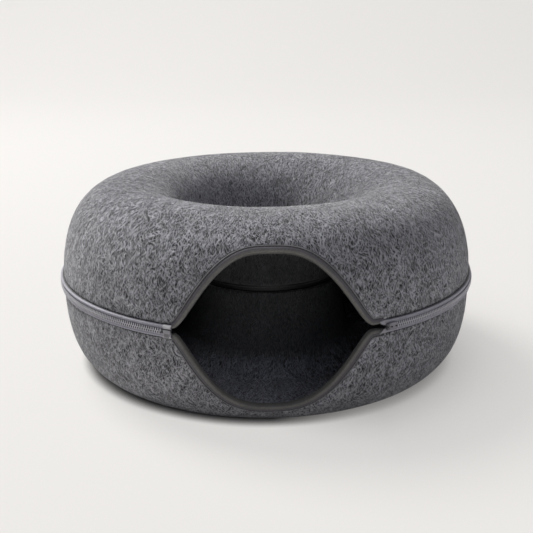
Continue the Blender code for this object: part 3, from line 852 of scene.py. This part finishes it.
def tapePoint(zipRing, half, angle, height, out):
    detail = tapeDetail
    low, high = detail["edges"]
    flare = tapeFlare(zipRing, angle)
    inner = low + (detail["flareTo"] - low) * flare
    spread = inner + (height - low) * (high - inner) / (high - low)
    if flare > 0:
        out = max(out, detail["lift"] * min(1, flare * detail["liftSoon"]))
        out += detail["curl"] * min(1, flare * detail["curlSoon"]) * max(0, 1 - height / detail["curlWidth"])
        out += detail["endCurl"] * max(0, 1 - (angle - detail["flareFrom"]) / detail["endCurlSpan"]) ** 2
    return ringPoint(zipRing, angle, half["side"] * spread * mm, out * mm)


def tapeSection(zipRing, half, angle):
    detail = tapeDetail
    section = []
    right = clamped((detail["rightUntil"] - angle) / detail["rightFade"]) if zipRing["side"] > 0 else 0.0
    hem = detail["lowerHem"] if half["side"] < 0 else 1 - right * (1 - detail["rightHem"])
    for height, out in detail["outline"]:
        if out > detail["hemFrom"]:
            out = detail["hemFrom"] + (out - detail["hemFrom"]) * hem
        section.append(tapePoint(zipRing, half, angle, height, out))
    return section


def zipTape(zipRing, half):
    detail = tapeDetail
    angles = evenSteps(zipRing["start"], zipRing["end"], detail["step"])
    if zipRing["side"] > 0:
        spread = np.linspace(detail["flareFrom"], zipRing["start"], detail["flareColumns"], endpoint=False)
        angles = [*spread, *angles]
    name = partName(zipRing, half)
    flares = [min(1, tapeFlare(zipRing, angle) * detail["bareSoon"]) for angle in angles]
    bare = [[flare] * len(detail["outline"]) for flare in flares]
    sections = [tapeSection(zipRing, half, angle) for angle in angles]
    piece = skinPiece(name + "_woven_tape", sections, degrees=50, marks={"bare": bare})
    dress(piece, finishes["tape"], half["body"], "zip_tape", name + "_tape")


def tapeStitches(zipRing, half):
    # the seam that sews the tape to the felt, sunk beside the hem
    shift = feltDetail["lowerShift"] if half["side"] < 0 else 0
    height = tapeDetail["stitchHeight"] * mm + shift

    def seamPoint(angle, lift):
        out = tapeDetail["stitchOut"] * mm + lift * mm
        return Vector(ringPoint(zipRing, angle, half["side"] * height, out))

    name = partName(zipRing, half) + "_tape_stitches"
    row = sewStitches(name, tapeDetail, zipRing["start"], zipRing["end"], seamPoint)
    dress(row, finishes["seamThread"], half["body"], "zip_tape")


# moulded teeth
toothDetail = dict(
    pitch=0.0028,
    neck=0.00048, head=0.00060, root=0.00062,  # half widths along the zip
    tipShare=0.72,  # the head's tip is rounded off
    tip=-0.00055, headEnd=0.0008, rootStart=0.0020, foot=0.0031,
    cuts=(0.0004, 0.0012, 0.0022),
    back=0.0026, front=0.0042,
    slopeStart=0.0028, slopeFront=0.0040, slope=0.0005,  # the foot slopes down to the tape
    bevel=0.00020,
)


def toothBase(side):
    # one tooth facing -Y: a block with a wide foot on the tape, a neck and a round head past the middle
    detail = toothDetail
    depth = detail["front"] - detail["back"]
    middle = (0, -(detail["front"] + detail["back"]) / 2, (detail["foot"] + detail["tip"]) / 2)
    bpy.ops.mesh.primitive_cube_add(size=1, location=middle)
    tooth = newPiece("tooth", (detail["neck"] * 2, depth, detail["foot"] - detail["tip"]))
    sliceAcross(detail["cuts"], (0, 0, 1))
    for point in tooth.data.vertices:
        z = point.co.z
        if z < 0:
            point.co.x *= detail["tipShare"]
        elif z < detail["headEnd"]:
            point.co.x *= detail["head"] / detail["neck"]
        elif z > detail["rootStart"]:
            point.co.x *= detail["root"] / detail["neck"]
        if z > detail["slopeStart"] and point.co.y < -detail["slopeFront"]:
            point.co.y += detail["slope"]
    bevelEdges(tooth, detail["bevel"], segments=1)
    # painted shade: the tooth darkens from its front back towards the tape
    markPoints(tooth, "proud", [(-point.co.y - detail["back"]) / depth for point in tooth.data.vertices])
    if side < 0:
        tooth.data.transform(Matrix.Rotation(math.pi, 4, "Y"))
    smooth(tooth, 35)
    return tooth


def zipTeeth(zipRing, half):
    pitch = degreesFor(zipRing, toothDetail["pitch"])
    first = zipRing["firstTooth"] + (0 if half["side"] > 0 else pitch / 2)
    count = int((zipRing["lastTooth"] - first) / pitch) + 1
    places = [ringPlace(zipRing, first + k * pitch) for k in range(count)]
    name = partName(zipRing, half)
    row = repeatPiece(name + "_tooth_row", toothBase(half["side"]), places)
    dress(row, finishes["teeth"], half["body"], "zip_teeth", name + "_teeth")


# film at the box end: lengths in metres, the outline in millimetres
filmDetail = dict(
    length=0.0088,
    outline=(
        (2.9, 2.85), (3.9, 2.95), (4.5, 3.85), (5.1, 4.15), (5.8, 4.1), (6.5, 3.7), (7.0, 2.8), (7.25, 1.6),
    ),
    thickness=0.35, spread=1.01, columns=7,
    lean=0.0004,  # for each millimetre away from the lean's middle, the film reaches this much further
    leanMiddle=5,
)


def endFilm(zipRing, half):
    detail = filmDetail
    outer = [(h * detail["spread"], o + detail["thickness"]) for h, o in reversed(detail["outline"])]
    span = degreesFor(zipRing, detail["length"])
    sections = []
    for share in np.linspace(0, 1, detail["columns"]):
        section = []
        for h, o in [*detail["outline"], *outer]:
            lean = degreesFor(zipRing, detail["lean"] * (h - detail["leanMiddle"])) * share
            angle = zipRing["end"] - span * (1 - share) + lean
            section.append(ringPoint(zipRing, angle, half["side"] * h * mm, o * mm))
        sections.append(section)
    name = partName(zipRing, half)
    piece = skinPiece(name + "_film", sections, degrees=50)
    dress(piece, finishes["film"], half["body"], "film", name + "_end_film")


# retainer box: (height from the zip's middle, distance off the felt's face), in millimetres
boxDetail = dict(
    length=0.0080,
    slant=0.22,  # the box's free end leans back towards its foot
    outline=(
        (-6.9, 1.5), (-6.9, 3.9), (-6.6, 4.5), (-6.2, 4.85), (-5.7, 4.8), (-5.3, 4.5), (-4.6, 4.4),
        (-2.6, 4.4), (-1.9, 4.45), (-1.5, 4.8), (1.5, 4.85), (2.0, 4.7), (2.2, 4.4), (2.1, 4.15),
        (0.0, 4.15), (0.0, 2.8), (-3.9, 2.8), (-4.2, 3.7), (-5.4, 3.7), (-6.3, 3.4), (-6.6, 1.5),
    ),
    shares=(0, 0.06, 0.2, 0.4, 0.6, 0.8, 0.94, 1),  # of the length, at each section
    front=4,
    ease=0.25,  # both ends are drawn in
    rim=0.35,  # beside them a rim stands up on the sunk part of the front
    sunk=(-5.2, -1.6),
    # painted shade on the box's plain faces; its ends, rims and front ridge keep more of the colour as
    # painted highlights
    proudPlain=0.52, proudEnds=0.25, proudRidge=0.3, ridge=4.6,
)


def retainerBox(zipRing):
    detail = boxDetail
    shares = detail["shares"]
    ends, rims = (shares[0], shares[-1]), (shares[1], shares[-2])
    span = degreesFor(zipRing, detail["length"])
    low, high = detail["sunk"]
    sections, prouds = [], []
    for share in shares:
        ease = detail["ease"] if share in ends else 0
        section, proud = [], []
        for h, o in detail["outline"]:
            front = o > detail["front"]
            back = degreesFor(zipRing, max(0, -h) * detail["slant"] * mm) * share
            angle = zipRing["end"] - span * (1 - share) - back
            rim = detail["rim"] if share in rims and low < h < high and front else 0
            height, out = h - math.copysign(ease, h), o - (ease if front else 0) + rim
            section.append(ringPoint(zipRing, angle, height * mm, out * mm))
            # painted shade on the plain faces, painted highlights at the ends, rims and front ridge
            edge = detail["proudEnds"] if share in ends + rims else 0
            ridge = detail["proudRidge"] if o > detail["ridge"] else 0
            proud.append(min(1, detail["proudPlain"] + edge + ridge))
        sections.append(section)
        prouds.append(proud)
    piece = skinPiece(zipRing["name"] + "_box", sections, degrees=40, marks={"proud": prouds})
    dress(piece, finishes["box"], "lower_half", "zip_teeth", zipRing["name"] + "_retainer_box")


# slider
sliderDetail = dict(
    length=0.0118, half=0.0041, plateBack=0.0049, plateFront=0.0062,
    square=0.65,  # 0 is a disc and 1 is a square
    noseShare=0.62, plateRound=0.00045,
    flangeBack=0.0029, flangeInner=0.0032, flangeShare=0.72, flangeShift=0.0006,
    flangeWall=0.0008, flangeSunk=0.0004, flangeRound=0.00025,
    eyeApart=0.0029, eyeRadius=0.0016, eyeThread=0.00042, eyeStretch=(1.0, 0.8, 1.2),
    eyeTilt=28, eyeLift=0.0001,  # the eyes' lower rims stand off the plate
    pitDepth=0.0009, pitShare=0.8, pitStretch=(1.0, 0.72, 1.0),
    # painted shade in the eyes' hollows
    dimShare=0.85, dimHalf=0.0011, dimDeep=(0.0045, 0.0060),  # the hollows are dim within these
)


def sliderPlate():
    # boat-shaped front plate, wide at the mouth and narrow at the nose
    detail = sliderDetail
    bpy.ops.mesh.primitive_cylinder_add(
        vertices=40,
        radius=1,
        depth=detail["plateFront"] - detail["plateBack"],
        rotation=(math.pi / 2, 0, 0),
        location=(0, -(detail["plateFront"] + detail["plateBack"]) / 2, 0),
    )
    plate = newPiece("sliderPlate")
    points = plate.data.vertices
    for point in points:
        grow = 1 - detail["square"] + detail["square"] / max(abs(point.co.x), abs(point.co.z))
        point.co.x *= grow
        point.co.z *= grow * (1 - (1 - detail["noseShare"]) * max(0, point.co.x) ** 2)
    reachX, reachZ = max(abs(point.co.x) for point in points), max(abs(point.co.z) for point in points)
    for point in points:
        point.co.x *= detail["length"] / 2 / reachX
        point.co.z *= detail["half"] / reachZ
    bevelEdges(plate, detail["plateRound"], segments=3)
    return plate


def sliderFlange(side):
    detail = sliderDetail
    depth = detail["plateBack"] + detail["flangeSunk"] - detail["flangeBack"]
    aside = detail["flangeInner"] + detail["flangeWall"] / 2
    middle = (-detail["flangeShift"], -detail["flangeBack"] - depth / 2, side * aside)
    bpy.ops.mesh.primitive_cube_add(size=1, location=middle)
    flange = newPiece("sliderFlange", (detail["length"] * detail["flangeShare"], depth, detail["flangeWall"]))
    bevelEdges(flange, detail["flangeRound"], segments=2)
    return flange


def tipAndMove(piece, degrees, place):
    piece.data.transform(Matrix.Rotation(math.radians(degrees), 4, "X"))
    piece.data.transform(Matrix.Translation(place))


def sliderEye(middle):
    # one of the two cast eyes that would carry a pull, and the plug that hollows it out
    detail = sliderDetail
    bpy.ops.mesh.primitive_torus_add(
        major_radius=detail["eyeRadius"], minor_radius=detail["eyeThread"],
        major_segments=32, minor_segments=12,
    )
    eye = newPiece("sliderEye", detail["eyeStretch"])
    tipAndMove(eye, 90 - detail["eyeTilt"], (middle, -detail["plateFront"] - detail["eyeLift"], 0))
    pitRadius, pitLength = detail["eyeRadius"] * detail["pitShare"], detail["pitDepth"] * 2
    bpy.ops.mesh.primitive_cylinder_add(vertices=24, radius=pitRadius, depth=pitLength)
    plug = newPiece("sliderPit", detail["pitStretch"])
    tipAndMove(plug, 90, (middle, -detail["plateFront"], 0))
    return eye, plug


def combine(body, others, operation="UNION"):
    for other in others:
        joint = body.modifiers.new("combine", "BOOLEAN")
        joint.operation = operation
        joint.solver = "EXACT"
        joint.object = other
        applyModifier(body, joint)
        bpy.data.objects.remove(other)


def inHollow(place, spots):
    detail = sliderDetail
    near = min(abs(place.x - spot) for spot in spots) < detail["eyeRadius"] * detail["dimShare"]
    low, high = detail["dimDeep"]
    return near and abs(place.z) < detail["dimHalf"] and -high < place.y < -low


def zipSlider(zipRing):
    spots = (-sliderDetail["eyeApart"], sliderDetail["eyeApart"])
    eyes, plugs = zip(*[sliderEye(spot) for spot in spots])
    slider = sliderPlate()
    combine(slider, plugs, "DIFFERENCE")
    combine(slider, [sliderFlange(1), sliderFlange(-1), *eyes])
    slider.name = slider.data.name = zipRing["name"] + "_slider_body"
    # painted shade in the eyes' hollows
    markPoints(slider, "proud", [0 if inHollow(point.co, spots) else 1 for point in slider.data.vertices])
    if zipRing["side"] < 0:
        slider.data.transform(Matrix.Rotation(math.pi, 4, "Y"))
    low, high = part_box(zipRing["name"] + "_slider")
    middle = (low + high) / 2
    angle = math.degrees(math.atan2(middle.x, cave["axisY"] - middle.y))
    slider.data.transform(ringPlace(zipRing, angle))
    smooth(slider, 35)
    dress(slider, finishes["slider"], zipRing["body"], "slider", zipRing["name"] + "_slider")


for zipRing in (outerZip, innerZip):
    for half in (upper, lower):
        zipTape(zipRing, half)
        tapeStitches(zipRing, half)
        zipTeeth(zipRing, half)
        endFilm(zipRing, half)
    retainerBox(zipRing)
    zipSlider(zipRing)
    print(zipRing["name"], "made")


# solids that stay as they are, in their real finish
for name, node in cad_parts.items():
    if node.hide_render:
        continue
    finish = "paint" if "slider" in name else "stops"
    node.data.materials.clear()
    node.data.materials.append(finishes[finish])
print("kept solids:", [name for name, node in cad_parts.items() if not node.hide_render])


# floor, backdrop and light
stageLook = dict(
    floorSize=8, wallHeight=4, cove=1.5,
    floor=rgb(0.80, 0.785, 0.755), patchScale=1.5, patchAmount=0.01,
    seen=rgb(0.845, 0.825, 0.803), seenShare=0.78,  # the pale studio as the camera and gloss see it
    # the floor's glow darkens near the cave with a painted shadow: (distance, depth on the left, depth on the
    # right)
    contact=(0.0150, 1.0, 0.35),
    broad=(0.22, 0.0, 0.5),
    openness=(0.1, 1.0), rightBy=0.12,
    above=rgb(0.164, 0.168, 0.193), around=rgb(0.290, 0.299, 0.346), rise=(0.1, 0.9),
    ceilingTilt=(0.0, -1.0),  # the ceiling is brighter over the front, the walls behind the cave
    wallTilt=(0.0, 1.0),
    aim=(0, 0, 0.1),
)
lights = dict(
    keyLight=dict(place=(-1.7, 1.6, 2.95), size=1.7, power=174, colour=(1.0, 0.99, 0.975)),
    fillLight=dict(place=(1.5, -2.2, 1.5), size=1.4, power=4.7, colour=(1, 1, 1)),
)


def seenByEye(tree):
    # one for rays that come from the camera, from gloss and through clear things
    path = tree.nodes.new("ShaderNodeLightPath")
    either = mathNode(tree, "MAXIMUM", path.outputs["Is Camera Ray"], path.outputs["Is Glossy Ray"])
    return mathNode(tree, "MAXIMUM", either, path.outputs["Is Transmission Ray"])


def makePaleFloor():
    look = stageLook
    material, tree, shader = newMaterial("paleFloor", Roughness=0.9)
    varied = addVariation(tree, look["floor"], look["patchScale"], look["patchAmount"])
    tree.links.new(varied.outputs["Colour"], shader.inputs["Base Color"])
    side = addNode(tree, "ShaderNodeSeparateXYZ", {0: objectPlace(tree)}).outputs["X"]
    # painted shadow: the glow that the camera sees darkens near the cave, more on the left
    clear = 1.0
    for distance, left, right in (look["contact"], look["broad"]):
        near = addNode(tree, "ShaderNodeAmbientOcclusion", {"Distance": distance}, samples=8).outputs["AO"]
        hidden = mapRange(tree, near, *look["openness"], 1.0, 0.0, interpolation_type="SMOOTHSTEP")
        depth = mapRange(tree, side, 0.0, look["rightBy"], left, right)
        dimmed = times(tree, hidden, depth)
        clear = times(tree, clear, mathNode(tree, "SUBTRACT", 1.0, dimmed))
    glow = addNode(tree, "ShaderNodeEmission", {"Color": look["seen"], "Strength": clear})
    share = times(tree, seenByEye(tree), look["seenShare"])
    both = addNode(tree, "ShaderNodeMixShader", {0: share, 1: shader.outputs[0], 2: glow.outputs[0]})
    tree.links.new(both.outputs[0], tree.nodes["Material Output"].inputs["Surface"])
    return material


def addFloor():
    look = stageLook
    bpy.ops.mesh.primitive_plane_add(size=look["floorSize"], location=(0, 0, 0))
    floor = newPiece("floor")
    setMode("EDIT")
    bpy.ops.mesh.select_all(action="DESELECT")
    setMode("OBJECT")
    for edge in floor.data.edges:
        edge.select = all(floor.data.vertices[v].co.y > 0 for v in edge.vertices)
    setMode("EDIT")
    bpy.ops.mesh.select_mode(type="EDGE")
    bpy.ops.mesh.extrude_region_move(TRANSFORM_OT_translate={"value": (0, 0, look["wallHeight"])})
    setMode("OBJECT")
    bevelEdges(floor, look["cove"], segments=24)
    smooth(floor, 60)
    floor.data.materials.append(makePaleFloor())


def addWorld():
    # soft light from a bright ceiling, weaker from the walls
    look = stageLook
    world = bpy.data.worlds.new("studio")
    world.use_nodes = True
    bpy.context.scene.world = world
    tree = world.node_tree
    where = tree.nodes.new("ShaderNodeTexCoord").outputs["Generated"]
    part = addNode(tree, "ShaderNodeSeparateXYZ", {0: where})
    rise = mapRange(tree, part.outputs["Z"], *look["rise"])
    level = mixColour(tree, rise, look["around"], look["above"])
    tilt = 1.0
    for axis, low, high in zip("XY", look["wallTilt"], look["ceilingTilt"]):
        share = mapRange(tree, rise, 0.0, 1.0, low, high)
        tilt = mathNode(tree, "ADD", times(tree, part.outputs[axis], share), tilt)
    colour = mixColour(tree, seenByEye(tree), toneColour(tree, level, tilt), look["seen"])
    tree.links.new(colour, tree.nodes["Background"].inputs["Color"])


def addLight(name, look):
    bpy.ops.object.light_add(type="AREA", location=look["place"])
    light = bpy.context.object
    light.name = name
    light.data.shape = "DISK"
    light.data.size = look["size"]
    light.data.energy = look["power"]
    light.data.color = look["colour"]
    aim = Vector(stageLook["aim"]) - Vector(look["place"])
    light.rotation_euler = aim.to_track_quat("-Z", "Y").to_euler()


addFloor()
addWorld()
for name, look in lights.items():
    addLight(name, look)
bpy.context.scene.view_settings.view_transform = "Standard"
print("stage lit")
